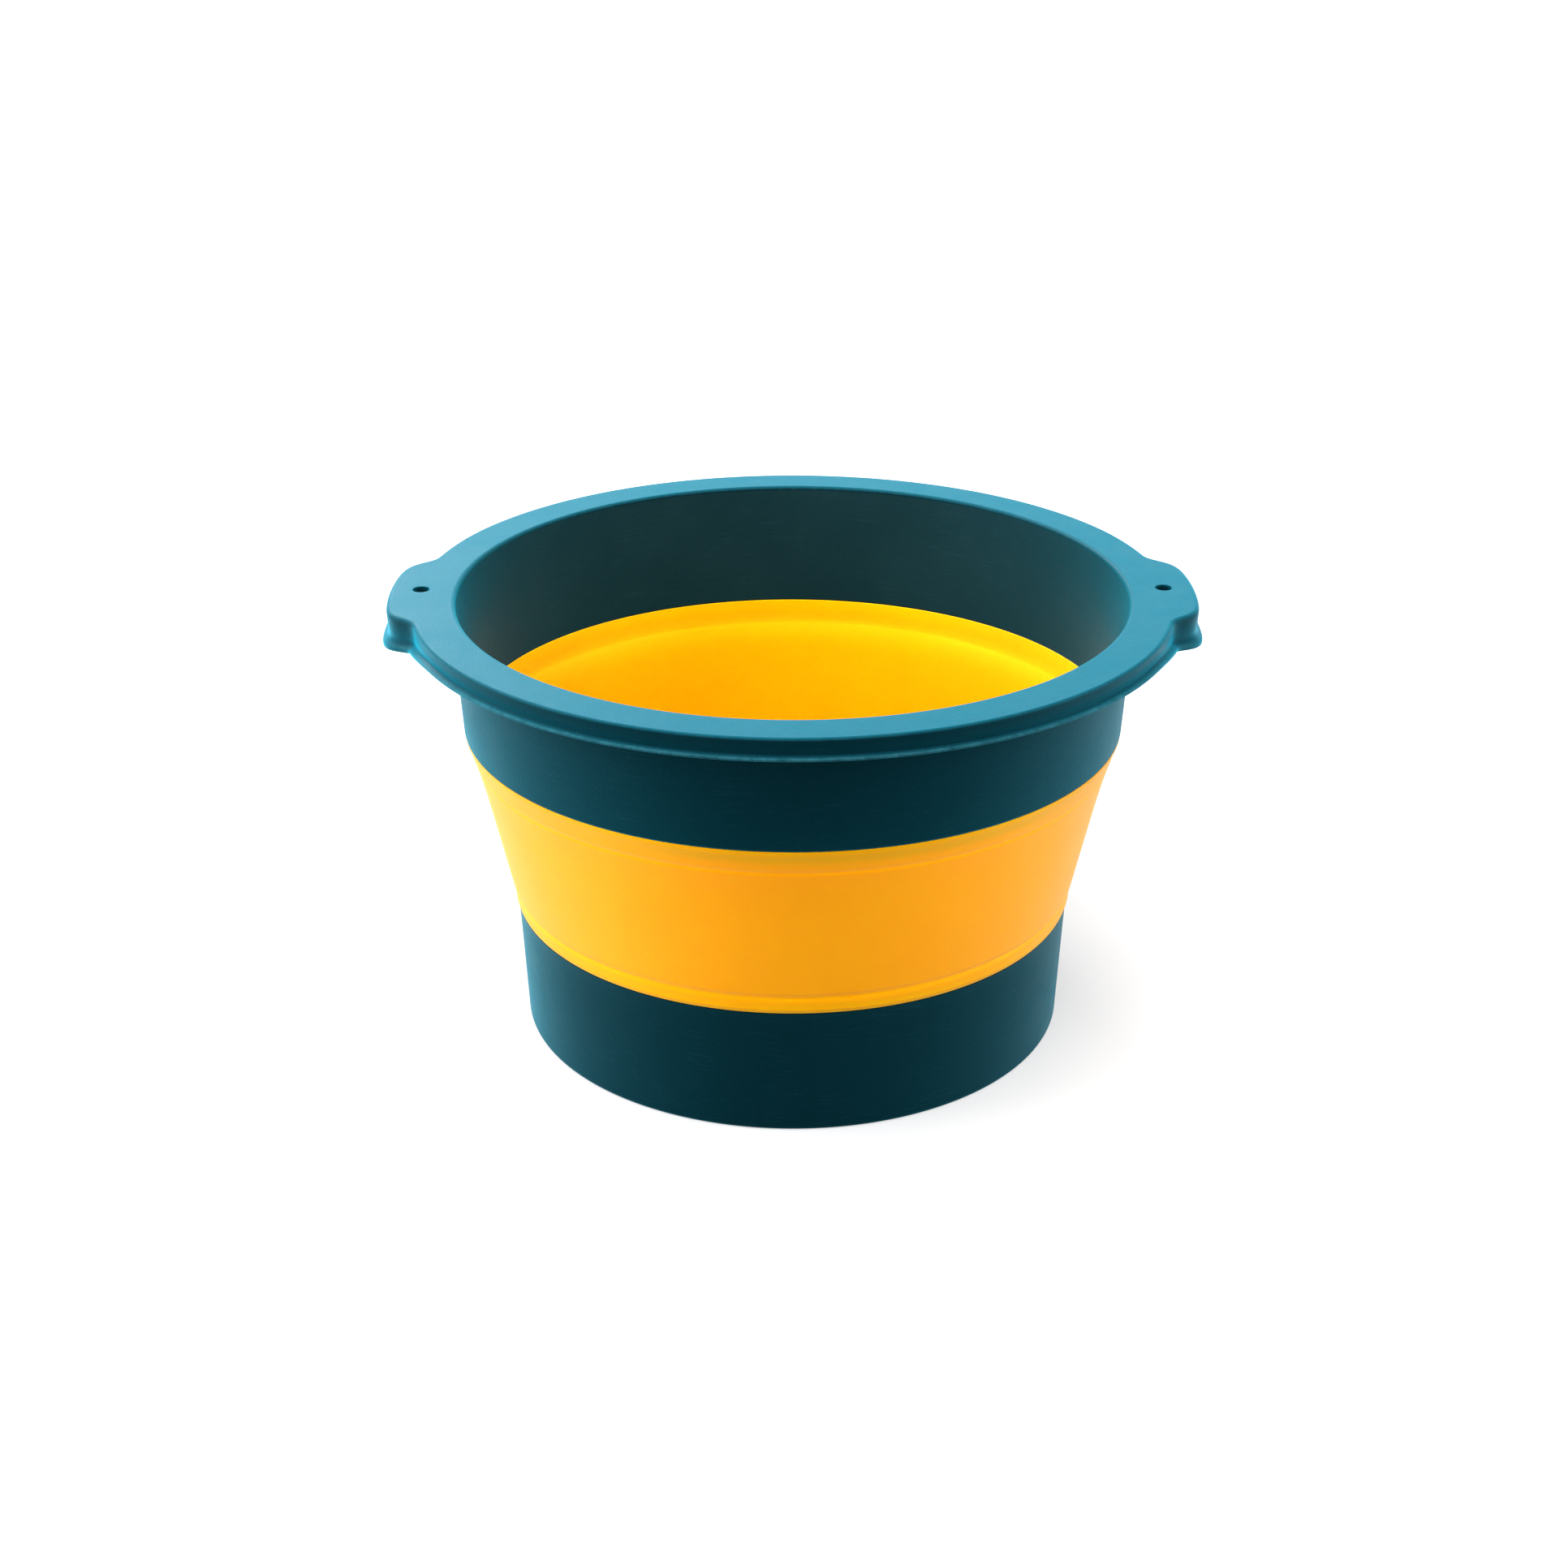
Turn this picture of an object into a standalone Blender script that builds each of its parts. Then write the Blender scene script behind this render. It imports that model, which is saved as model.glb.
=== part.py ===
"""Collapsible camp bucket: two stiff shells joined by a soft wall that folds inside out.

Metres, +Z up. The origin is on the floor, under the middle of the base.
The ears of the rim lie on the X axis.
"""
import math

import bmesh
import bpy

# Heights, stacked from the floor up
CUP_HEIGHT = 0.0543            # floor to the lower seam
LOWER_COLLAR_HEIGHT = 0.0077   # lower seam to the lower hinge
FOLDED_CLEARANCE = 0.0010      # left under the upper hinge when the bucket is pressed flat
UPPER_COLLAR_HEIGHT = 0.0106   # upper hinge to the upper seam
BAND_HEIGHT = 0.0543           # upper seam to the top of the rim

# Radius of the outer face at the floor, and how far each zone leans out from upright
BASE_RADIUS = 0.1146
CUP_LEAN_DEGREES = 3.6
LOWER_COLLAR_LEAN_DEGREES = 11.0
PANEL_LEAN_DEGREES = 13.55
UPPER_COLLAR_LEAN_DEGREES = 16.8
BAND_LEAN_DEGREES = 3.9
PANEL_BOW = 0.0006             # how far the panel's middle is drawn in

# Walls and joints
WALL = 0.0024                  # both shells and the soft wall
HINGE_WALL = 0.0011            # what is left of the soft wall in a hinge groove
HINGE_GROOVE_HEIGHT = 0.0016   # height over which the wall thins towards a hinge
TONGUE_WALL = 0.0008           # tongue on a stiff shell, held in the soft collar
UPPER_TONGUE_HEIGHT = 0.0052
LOWER_TONGUE_HEIGHT = 0.0038
GAP = 0.0003                   # between faces of two pieces that touch

# Rim
RIM_WIDTH = 0.0162             # band's outer face, carried up to the top, to the skirt's outer face
RIM_PLATE = 0.0024
MOUTH_ROUND = 0.0030           # rounding of the rim's inner edge
OUTER_ROUND = 0.0036           # rounding of the rim's outer edge
SKIRT_DEPTH = 0.0076           # top of the rim to the foot of the skirt
SKIRT_WALL = 0.0021
LIP_REACH = 0.0019             # how far the skirt's foot stands out
LIP_EDGE = 0.0008              # height of that foot's edge
LIP_FLARE = 0.0009             # height over which the skirt widens into it

# Ears
EAR_REACH = 0.0094             # how far an ear stands out of the rim's circle
EAR_HALF_DEGREES = 13.8        # middle of an ear to its neck, seen from the bucket's axis
EAR_FLATNESS = 6.7             # higher is a longer straight end
EAR_NECK_SOFTNESS = 1.6        # higher is a softer hollow at the neck
EAR_SKIRT_DEPTH = 0.0180       # in the middle of the ear
EAR_SKIRT_END_DEGREES = 30.0   # from here on the skirt has the rim's own depth
EAR_LIP_EDGE = 0.0026
EAR_LIP_FLARE = 0.0034
EAR_HOLE_INSET = 0.0132        # ear's outer face to the middle of the cord hole
EAR_HOLE_RADIUS = 0.0035

# Base
BASE_EDGE_ROUND = 0.0016
FOOT_RING_WIDTH = 0.0070
FOOT_RECESS = 0.0016           # height of the floor's underside above the foot ring
FLOOR_WALL = 0.0024
FLOOR_CORNER_ROUND = 0.0060

# How finely round shapes are divided
TURN_STEPS = 80
RIM_STEP_DEGREES = 5.0
EAR_STEPS = 28
EAR_STEPS_DEGREES = 17.5       # the ear's finer steps end here
ARC_STEPS = 4
CORNER_STEPS = 5
PANEL_STEPS = 4
HOLE_STEPS = 24
SMOOTH_ANGLE_DEGREES = 35.0
MERGE_DISTANCE = 0.00001
CUT_OVERRUN = 0.0010           # how far a cutter runs past what it cuts

# Worked out from the sizes above: the panel turns over about the lower hinge,
# so it is as tall as the room under that hinge lets it be
LOWER_HINGE_Z = CUP_HEIGHT + LOWER_COLLAR_HEIGHT
PANEL_HEIGHT = LOWER_HINGE_Z - FOLDED_CLEARANCE
UPPER_HINGE_Z = LOWER_HINGE_Z + PANEL_HEIGHT
UPPER_SEAM_Z = UPPER_HINGE_Z + UPPER_COLLAR_HEIGHT

# Colour, roughness and metallic value of each material
STIFF_TEAL = ((0.010, 0.118, 0.150, 1.0), 0.42, 0.0)
SOFT_YELLOW = ((0.956, 0.365, 0.006, 1.0), 0.48, 0.0)


def lean(height, degrees):
    """Radius gained over a height by a face that leans out by an angle."""
    return height * math.tan(math.radians(degrees))


LOWER_SEAM_RADIUS = BASE_RADIUS + lean(CUP_HEIGHT, CUP_LEAN_DEGREES)
LOWER_HINGE_RADIUS = LOWER_SEAM_RADIUS + lean(LOWER_COLLAR_HEIGHT, LOWER_COLLAR_LEAN_DEGREES)
UPPER_HINGE_RADIUS = LOWER_HINGE_RADIUS + lean(PANEL_HEIGHT, PANEL_LEAN_DEGREES)
UPPER_SEAM_RADIUS = UPPER_HINGE_RADIUS + lean(UPPER_COLLAR_HEIGHT, UPPER_COLLAR_LEAN_DEGREES)
RIM_RADIUS = UPPER_SEAM_RADIUS + lean(BAND_HEIGHT, BAND_LEAN_DEGREES) + RIM_WIDTH
EAR_HOLE_PLACE = RIM_RADIUS + EAR_REACH - EAR_HOLE_INSET


def arc(centre_r, centre_z, radius, start_degrees, end_degrees, steps):
    """Points (r, z) of an arc, both ends included."""
    points = []
    for step in range(steps + 1):
        angle = math.radians(start_degrees + (end_degrees - start_degrees) * step / steps)
        points.append((centre_r + radius * math.cos(angle), centre_z + radius * math.sin(angle)))
    return points


def smooth_ramp(value, start, end):
    """0 up to start, 1 from end, and an even S between them."""
    share = min(max((value - start) / (end - start), 0.0), 1.0)
    return share * share * (3.0 - 2.0 * share)


def lower_collar_radius(height):
    """Outer radius of the lower collar at a height above the lower seam."""
    return LOWER_SEAM_RADIUS + lean(height, LOWER_COLLAR_LEAN_DEGREES)


def upper_collar_radius(height):
    """Outer radius of the upper collar at a height (below zero) from the upper seam."""
    return UPPER_SEAM_RADIUS + lean(height, UPPER_COLLAR_LEAN_DEGREES)


def band_radius(height):
    """Outer radius of the stiff band at a height above the upper seam."""
    return UPPER_SEAM_RADIUS + lean(height, BAND_LEAN_DEGREES)


def panel_radius(share):
    """Outer radius of the folding panel, share 0 at the lower hinge and 1 at the upper."""
    straight = LOWER_HINGE_RADIUS + (UPPER_HINGE_RADIUS - LOWER_HINGE_RADIUS) * share
    return straight - PANEL_BOW * math.sin(math.pi * share)


def tongue(collar_radius, height, seam_z):
    """The four corners of a tongue that follows the collar, from its outer root round."""
    inset = (WALL - TONGUE_WALL) / 2
    outer_root = collar_radius(0.0) - inset
    outer_tip = collar_radius(height) - inset
    return [(outer_root, seam_z), (outer_tip, seam_z + height),
            (outer_tip - TONGUE_WALL, seam_z + height), (outer_root - TONGUE_WALL, seam_z)]


def groove(collar_radius, depth, mouth_z):
    """The four corners of the slot round a tongue, from its inner mouth edge round."""
    inset = (WALL - TONGUE_WALL) / 2 - GAP
    width = TONGUE_WALL + 2 * GAP
    outer_mouth = collar_radius(mouth_z) - inset
    outer_end = collar_radius(depth) - inset
    return [(outer_mouth - width, mouth_z), (outer_end - width, depth),
            (outer_end, depth), (outer_mouth, mouth_z)]


def base_cup_profile():
    """Half section of the base, from the axis under the floor round to the axis above it."""
    ring_outer = BASE_RADIUS - BASE_EDGE_ROUND
    ring_inner = ring_outer - FOOT_RING_WIDTH
    floor_top = FOOT_RECESS + FLOOR_WALL
    corner_z = floor_top + FLOOR_CORNER_ROUND
    corner_r = BASE_RADIUS + lean(corner_z, CUP_LEAN_DEGREES) - WALL
    points = [(0.0, FOOT_RECESS), (ring_inner - FOOT_RECESS, FOOT_RECESS), (ring_inner, 0.0)]
    points += arc(ring_outer, BASE_EDGE_ROUND, BASE_EDGE_ROUND, -90.0, 0.0, ARC_STEPS)
    points.append((LOWER_SEAM_RADIUS, CUP_HEIGHT))
    points += tongue(lower_collar_radius, LOWER_TONGUE_HEIGHT, CUP_HEIGHT)
    points.append((LOWER_SEAM_RADIUS - WALL, CUP_HEIGHT))
    points += arc(corner_r - FLOOR_CORNER_ROUND, corner_z, FLOOR_CORNER_ROUND, 0.0, -90.0, CORNER_STEPS)
    points.append((0.0, floor_top))
    return points


def lower_collar_profile():
    """Section of the soft collar on the cup, z from the lower seam, grooved outside at its hinge."""
    top = LOWER_COLLAR_HEIGHT - GAP / 2
    shoulder = top - HINGE_GROOVE_HEIGHT
    points = [(lower_collar_radius(GAP), GAP), (lower_collar_radius(shoulder), shoulder),
              (lower_collar_radius(top) - WALL + HINGE_WALL, top), (lower_collar_radius(top) - WALL, top),
              (lower_collar_radius(GAP) - WALL, GAP)]
    return points + groove(lower_collar_radius, LOWER_TONGUE_HEIGHT + GAP, GAP)


def upper_collar_profile():
    """Section of the soft collar under the band, z from the upper seam, grooved inside at its hinge."""
    bottom = GAP / 2 - UPPER_COLLAR_HEIGHT
    shoulder = bottom + HINGE_GROOVE_HEIGHT
    points = [(upper_collar_radius(bottom), bottom), (upper_collar_radius(-GAP), -GAP)]
    points += reversed(groove(upper_collar_radius, -UPPER_TONGUE_HEIGHT - GAP, -GAP))
    points += [(upper_collar_radius(-GAP) - WALL, -GAP), (upper_collar_radius(shoulder) - WALL, shoulder),
               (upper_collar_radius(bottom) - HINGE_WALL, bottom)]
    return points


def fold_panel_profile():
    """Section of the folding panel, z from the lower hinge, thinned outside below and inside above."""
    thinning = WALL - HINGE_WALL
    end = (GAP / 2) / PANEL_HEIGHT
    shoulder = end + HINGE_GROOVE_HEIGHT / PANEL_HEIGHT
    middle = [shoulder + (1.0 - 2 * shoulder) * step / PANEL_STEPS for step in range(PANEL_STEPS + 1)]
    outer = [(panel_radius(end) - thinning, end)]
    outer += [(panel_radius(share), share) for share in middle + [1.0 - end]]
    inner = [(panel_radius(1.0 - end) - HINGE_WALL, 1.0 - end)]
    inner += [(panel_radius(share) - WALL, share) for share in reversed([end] + middle)]
    return [(radius, share * PANEL_HEIGHT) for radius, share in outer + inner]


def ear_share(degrees):
    """How much of the ear's reach the outline has at an angle from the X axis: 1 at its middle."""
    turned = abs((degrees + 90.0) % 180.0 - 90.0) / EAR_HALF_DEGREES
    if turned >= 1.0:
        return 0.0
    return (1.0 - turned ** EAR_FLATNESS) ** EAR_NECK_SOFTNESS


def rim_outline(degrees):
    """Point (x, y) of the skirt's outer face at an angle round the bucket."""
    radius = RIM_RADIUS + EAR_REACH * ear_share(degrees)
    angle = math.radians(degrees)
    return radius * math.cos(angle), radius * math.sin(angle)


def rim_outward(degrees):
    """Unit direction square to the outline and away from the bucket."""
    nudge_degrees = 0.1
    x0, y0 = rim_outline(degrees - nudge_degrees)
    x1, y1 = rim_outline(degrees + nudge_degrees)
    length = math.hypot(x1 - x0, y1 - y0)
    return (y1 - y0) / length, (x0 - x1) / length


def skirt_size(degrees, at_ear, elsewhere):
    """A size of the skirt that goes evenly from its value in an ear's middle to that of the plain rim."""
    turned = abs((degrees + 90.0) % 180.0 - 90.0)
    return at_ear + (elsewhere - at_ear) * smooth_ramp(turned, 0.0, EAR_SKIRT_END_DEGREES)


def rim_stations():
    """Angles of the rim's sections, in degrees: close together at the two ears."""
    near = [EAR_STEPS_DEGREES * (2 * step / EAR_STEPS - 1) for step in range(EAR_STEPS + 1)]
    far_span = 180.0 - 2 * EAR_STEPS_DEGREES
    far_steps = round(far_span / RIM_STEP_DEGREES)
    far = [EAR_STEPS_DEGREES + far_span * step / far_steps for step in range(1, far_steps)]
    half = near + far
    return half + [angle + 180.0 for angle in half]


def rim_section(degrees):
    """One closed section of the rim and its band, as points (x, y, z), z from the upper seam."""
    angle = math.radians(degrees)
    edge_x, edge_y = rim_outline(degrees)
    out_x, out_y = rim_outward(degrees)
    foot = BAND_HEIGHT - skirt_size(degrees, EAR_SKIRT_DEPTH, SKIRT_DEPTH)
    lip_top = foot + skirt_size(degrees, EAR_LIP_EDGE, LIP_EDGE)
    flare_top = lip_top + skirt_size(degrees, EAR_LIP_FLARE, LIP_FLARE)
    under = BAND_HEIGHT - RIM_PLATE
    mouth_z = BAND_HEIGHT - MOUTH_ROUND
    mouth_r = band_radius(mouth_z) - WALL + MOUTH_ROUND

    def on_band(points):
        return [(r * math.cos(angle), r * math.sin(angle), z) for r, z in points]

    def on_skirt(points):
        return [(edge_x + out_x * r, edge_y + out_y * r, z) for r, z in points]

    band = [(UPPER_SEAM_RADIUS - WALL, 0.0)]
    band += reversed(tongue(upper_collar_radius, -UPPER_TONGUE_HEIGHT, 0.0))
    band += [(UPPER_SEAM_RADIUS, 0.0), (band_radius(under), under)]
    skirt = [(-SKIRT_WALL, under), (-SKIRT_WALL, foot), (LIP_REACH, foot), (LIP_REACH, lip_top),
             (0.0, flare_top)]
    skirt += arc(-OUTER_ROUND, BAND_HEIGHT - OUTER_ROUND, OUTER_ROUND, 0.0, 90.0, ARC_STEPS)
    mouth = arc(mouth_r, mouth_z, MOUTH_ROUND, 90.0, 180.0, ARC_STEPS)
    return on_band(band) + on_skirt(skirt) + on_band(mouth)


def material(name, look):
    """A plain moulded plastic."""
    colour, roughness, metallic = look
    made = bpy.data.materials.new(name)
    made.use_nodes = True
    shader = made.node_tree.nodes["Principled BSDF"]
    shader.inputs["Base Color"].default_value = colour
    shader.inputs["Roughness"].default_value = roughness
    shader.inputs["Metallic"].default_value = metallic
    made.diffuse_color = colour
    return made


def finished_object(name, mesh_data, look):
    """An object from a bmesh, smooth on its round faces, with its own material."""
    bmesh.ops.remove_doubles(mesh_data, verts=mesh_data.verts, dist=MERGE_DISTANCE)
    bmesh.ops.recalc_face_normals(mesh_data, faces=mesh_data.faces)
    mesh = bpy.data.meshes.new(name)
    mesh_data.to_mesh(mesh)
    mesh_data.free()
    mesh.shade_smooth()
    mesh.set_sharp_from_angle(angle=math.radians(SMOOTH_ANGLE_DEGREES))
    mesh.materials.append(material(name + "_material", look))
    made = bpy.data.objects.new(name, mesh)
    bpy.context.collection.objects.link(made)
    return made


def turned_object(name, profile, look, closed=True):
    """A profile of points (r, z) spun once round the Z axis."""
    mesh_data = bmesh.new()
    points = [mesh_data.verts.new((r, 0.0, z)) for r, z in profile]
    following = points[1:] + points[:1] if closed else points[1:]
    edges = [mesh_data.edges.new(pair) for pair in zip(points, following)]
    bmesh.ops.spin(mesh_data, geom=points + edges, cent=(0.0, 0.0, 0.0), axis=(0.0, 0.0, 1.0),
                   angle=2 * math.pi, steps=TURN_STEPS, use_merge=True)
    return finished_object(name, mesh_data, look)


def rim_object(name, look):
    """The rim, its ears and its band: sections joined all the way round."""
    mesh_data = bmesh.new()
    rings = [[mesh_data.verts.new(point) for point in rim_section(degrees)] for degrees in rim_stations()]
    for ring, following in zip(rings, rings[1:] + rings[:1]):
        for index, corner in enumerate(ring):
            mesh_data.faces.new((ring[index - 1], corner, following[index], following[index - 1]))
    bmesh.ops.triangulate(mesh_data, faces=mesh_data.faces)
    return finished_object(name, mesh_data, look)


def cut_cord_hole(rim, side):
    """A round hole down through the plate of one ear, side 1 at +X and -1 at -X."""
    mesh_data = bmesh.new()
    depth = RIM_PLATE + 2 * CUT_OVERRUN
    bmesh.ops.create_cone(mesh_data, cap_ends=True, segments=HOLE_STEPS, radius1=EAR_HOLE_RADIUS,
                          radius2=EAR_HOLE_RADIUS, depth=depth)
    mesh = bpy.data.meshes.new("cord_hole_cutter")
    mesh_data.to_mesh(mesh)
    mesh_data.free()
    cutter = bpy.data.objects.new("cord_hole_cutter", mesh)
    bpy.context.collection.objects.link(cutter)
    cutter.parent = rim
    cutter.location = (side * EAR_HOLE_PLACE, 0.0, BAND_HEIGHT - RIM_PLATE / 2)
    half_a_side = math.pi / HOLE_STEPS
    cutter.rotation_euler.z = half_a_side  # keeps its corners off the ear's middle edge
    cutter.hide_render = True
    cutter.display_type = "WIRE"
    cut = rim.modifiers.new("cord_hole", "BOOLEAN")
    cut.operation = "DIFFERENCE"
    cut.object = cutter


def build():
    """Base pieces stand on the floor; the rim's pieces hang on the empty that slides down Z."""
    for old in list(bpy.data.objects):
        bpy.data.objects.remove(old)

    turned_object("base_cup", base_cup_profile(), STIFF_TEAL, closed=False)
    lower_collar = turned_object("lower_collar", lower_collar_profile(), SOFT_YELLOW)
    lower_collar.location.z = CUP_HEIGHT
    fold_panel = turned_object("fold_panel", fold_panel_profile(), SOFT_YELLOW)
    fold_panel.location.z = LOWER_HINGE_Z

    rim_slide = bpy.data.objects.new("rim_slide", None)
    bpy.context.collection.objects.link(rim_slide)
    rim_slide.location.z = UPPER_SEAM_Z
    upper_collar = turned_object("upper_collar", upper_collar_profile(), SOFT_YELLOW)
    rim_frame = rim_object("rim_frame", STIFF_TEAL)
    for moving in (upper_collar, rim_frame):
        moving.parent = rim_slide
    for side in (-1, 1):
        cut_cord_hole(rim_frame, side)


build()
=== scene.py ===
"""Looks of the collapsible camp bucket: satin shells, a soft folding wall and soft studio light.

Metres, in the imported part's own frame: +Z up, origin on the floor under the middle, and the ears
on the X axis.
"""
import math

import bmesh
import bpy
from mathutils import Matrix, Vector


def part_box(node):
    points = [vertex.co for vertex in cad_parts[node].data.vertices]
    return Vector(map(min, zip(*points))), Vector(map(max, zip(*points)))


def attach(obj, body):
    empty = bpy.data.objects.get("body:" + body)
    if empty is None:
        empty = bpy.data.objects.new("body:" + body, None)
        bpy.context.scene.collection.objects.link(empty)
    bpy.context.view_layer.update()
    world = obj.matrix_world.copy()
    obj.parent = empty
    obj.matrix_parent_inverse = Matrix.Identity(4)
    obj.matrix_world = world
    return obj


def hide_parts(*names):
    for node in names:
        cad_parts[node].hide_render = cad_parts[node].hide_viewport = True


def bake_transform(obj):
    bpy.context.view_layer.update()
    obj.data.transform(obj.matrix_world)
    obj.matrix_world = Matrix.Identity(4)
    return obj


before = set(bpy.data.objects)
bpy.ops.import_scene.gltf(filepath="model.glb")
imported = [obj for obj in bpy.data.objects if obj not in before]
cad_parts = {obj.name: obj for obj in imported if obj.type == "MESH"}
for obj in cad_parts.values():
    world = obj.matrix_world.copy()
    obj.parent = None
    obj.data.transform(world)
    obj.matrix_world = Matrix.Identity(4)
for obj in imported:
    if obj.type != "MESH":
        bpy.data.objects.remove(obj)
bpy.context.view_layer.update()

# Walls, and the tongue by which each stiff shell is held in the soft wall
WALL = 0.0024
TONGUE_WALL = 0.0008
UPPER_TONGUE_HEIGHT = 0.0052
LOWER_TONGUE_HEIGHT = 0.0038
GAP = 0.0003                   # between faces of two pieces that touch

# How far each zone leans out from upright
CUP_LEAN_DEGREES = 3.0
LOWER_COLLAR_LEAN_DEGREES = 11.0
UPPER_COLLAR_LEAN_DEGREES = 16.8
BAND_LEAN_DEGREES = 3.9

# Rim
RIM_PLATE = 0.0024
MOUTH_ROUND = 0.0030
OUTER_ROUND = 0.0023
SKIRT_DEPTH = 0.0084
SKIRT_WALL = 0.0021
SKIRT_LEAN = 0.0007            # how far the skirt draws in towards its lip
LIP_REACH = 0.0019
LIP_EDGE = 0.0008
LIP_FLARE = 0.0009
LIP_WEAR_AND_HIGHLIGHT_SPAN = (0.0006, 0.0014)    # its wear and painted highlight grow from this far out to this far out
LIP_HOLLOW = 0.0006            # radius where the skirt turns out into the lip
UNDER_FILLET = 0.0012          # inside corners under the rim
PLATE_LEAD = 0.0040            # flat kept beside those corners and the top edges

# Ears
EAR_REACH = 0.0094
EAR_HALF_DEGREES = 17.0
EAR_FLATNESS = 7.7
EAR_NECK_SOFTNESS = 8.8
EAR_SKIRT_DEPTH = 0.0180
EAR_SKIRT_END_DEGREES = 28.0   # from here on the skirt has the rim's own depth
EAR_OUTER_ROUND = 0.0044       # the top edge is rounder at the ears
EAR_ROUND_DEGREES = (11.0, 30.0)   # between these it goes over to the rim's own
EAR_LIP_EDGE = 0.0026
EAR_LIP_FLARE = 0.0034
EAR_LIP_HOLLOW = 0.0040
EAR_HOLE_INSET = 0.0132        # ear's outer face to the middle of the cord hole
EAR_HOLE_RADIUS = 0.0035
HOLE_EDGE_ROUND = 0.0005

# Base
CUP_FLARE = 0.0004             # extra reach at the cup's top edge
CUP_FLARE_HEIGHT = 0.0040      # height over which that reach dies away
CUP_FLARE_STEPS = 12
BASE_EDGE_ROUND = 0.0016
FOOT_RING_WIDTH = 0.0070
FOOT_RECESS = 0.0016
FLOOR_WALL = 0.0024
FLOOR_CORNER_ROUND = 0.0060
GATE_RADIUS = 0.0035           # moulding mark in the middle of the underside
GATE_DEPTH = 0.0005

# Soft wall
PANEL_SHOULDER = 0.0009        # extra reach of the panel at the upper hinge
PANEL_SHOULDER_HEIGHT = 0.0080
LOWER_CREASE = (0.00070, 0.0021)   # depth and half height of the hinge line outside
UPPER_CREASE = (0.00040, 0.0015)
INNER_LEDGE_DEPTH = 0.00070    # inside, the upper hinge line is a ledge that faces up
INNER_LEDGE_ROUND = 0.0110     # height over which the panel rounds over into it
INNER_LEDGE_RUN = 0.0075       # height over which the collar comes back in above it
SEAM_BEAD = (0.00030, 0.0017)      # height and half width of the soft wall's bead beside each seam
WALL_STEP = 0.0016             # height between the rings of the wall
CREASE_STEP = 0.00025          # and near its hinge lines and seams
CREASE_REACH = 0.0026          # which reach this far from the hinge

# Small edge roundings
SEAM_ROUND = 0.00045
TONGUE_ROUND = 0.00015
SMALL_ROUND = 0.0005
EDGE_SUPPORT = 0.0004          # flat kept beside a rounded edge
SUPPORT_SHARE = 0.3            # or this share of a short flat
SUPPORT_LEAST = 0.02           # and this share of the arc's own reach
REACH_SHARE = 0.49             # an arc takes up no more than this share of each flat
LIP_ROUND_SHARE = 0.48         # the lip's two roundings, as a share of its thickness

# How worn each edge is, and how much highlight is painted on it: 1 for a sharp outer edge, more
# for the thin lip, which is rubbed paler and painted with a highlight
FOOT_WEAR = 1.0
GATE_WEAR = 0.3
MOUTH_WEAR_AND_HIGHLIGHT = 0.7
OUTER_WEAR_AND_HIGHLIGHT = 0.5
SKIRT_WEAR = 0.5
SEAM_WEAR = 0.4
WALL_END_WEAR = 0.3
LIP_WEAR_AND_HIGHLIGHT = 2.4
EAR_LIP_WEAR_AND_HIGHLIGHT = 0.3

# How finely round shapes are divided
TURN_STEPS = 288
NEAR_STEP_DEGREES = 0.5
NEAR_END_DEGREES = 19.0        # the finer steps round each ear end here
FAR_STEP_DEGREES = 1.25
ROUND_STEPS = 10
SMALL_STEPS = 5
HOLE_STEPS = 48
CUT_OVERRUN = 0.0010


def lean(height, degrees):
    """Radius gained over a height by a face that leans out by an angle."""
    return height * math.tan(math.radians(degrees))


# Places read from the frame
RIM_TOP_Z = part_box("rim_frame")[1].z
UPPER_SEAM_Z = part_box("upper_collar")[1].z + GAP
UPPER_HINGE_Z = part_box("upper_collar")[0].z - GAP / 2
LOWER_HINGE_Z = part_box("lower_collar")[1].z + GAP / 2
LOWER_SEAM_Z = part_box("lower_collar")[0].z - GAP
LOWER_SEAM_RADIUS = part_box("base_cup")[1].x
LOWER_HINGE_RADIUS = LOWER_SEAM_RADIUS + lean(LOWER_HINGE_Z - LOWER_SEAM_Z,
                                              LOWER_COLLAR_LEAN_DEGREES)
UPPER_HINGE_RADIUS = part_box("fold_panel")[1].x
UPPER_SEAM_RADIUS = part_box("upper_collar")[1].x + lean(GAP, UPPER_COLLAR_LEAN_DEGREES)
RIM_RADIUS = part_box("rim_frame")[1].x - LIP_REACH - EAR_REACH
EAR_HOLE_PLACE = RIM_RADIUS + EAR_REACH - EAR_HOLE_INSET

# Camera, fitted to the rim, seams and base in the photograph
PHOTO_PIXELS = 1932.0
FOCAL_PIXELS = 3137.0
AXIS_ROW_PIXELS = 800.0        # row of the photograph that the camera's axis meets
MOUTH_Z = 0.1870
CAMERA_ELEVATION_DEGREES = 19.96
CAMERA_DISTANCE = 1.0535
CAMERA_DIP_DEGREES = 1.325     # it looks this far below the middle of the mouth
CAMERA_TURN_DEGREES = 0.208    # and this far to its left
CAMERA_ROUND_DEGREES = -0.6    # it stands this far round from the middle between the ears
SENSOR_MM = 36.0
NEAREST_SEEN = 0.01


def smooth_ramp(value, start, end):
    """0 up to start, 1 from end, and an even S between them."""
    share = min(max((value - start) / (end - start), 0.0), 1.0)
    return share * share * (3.0 - 2.0 * share)


def sharp(r, z):
    """A corner that stays as it is."""
    return r, z, 0.0, 0, 0.0


def eased(r, z, radius, edge=0.0):
    """A corner with a small rounding."""
    return r, z, radius, SMALL_STEPS, edge


def round_corner(r, z, radius, edge=0.0):
    """A corner with a large rounding."""
    return r, z, radius, ROUND_STEPS, edge


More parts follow.
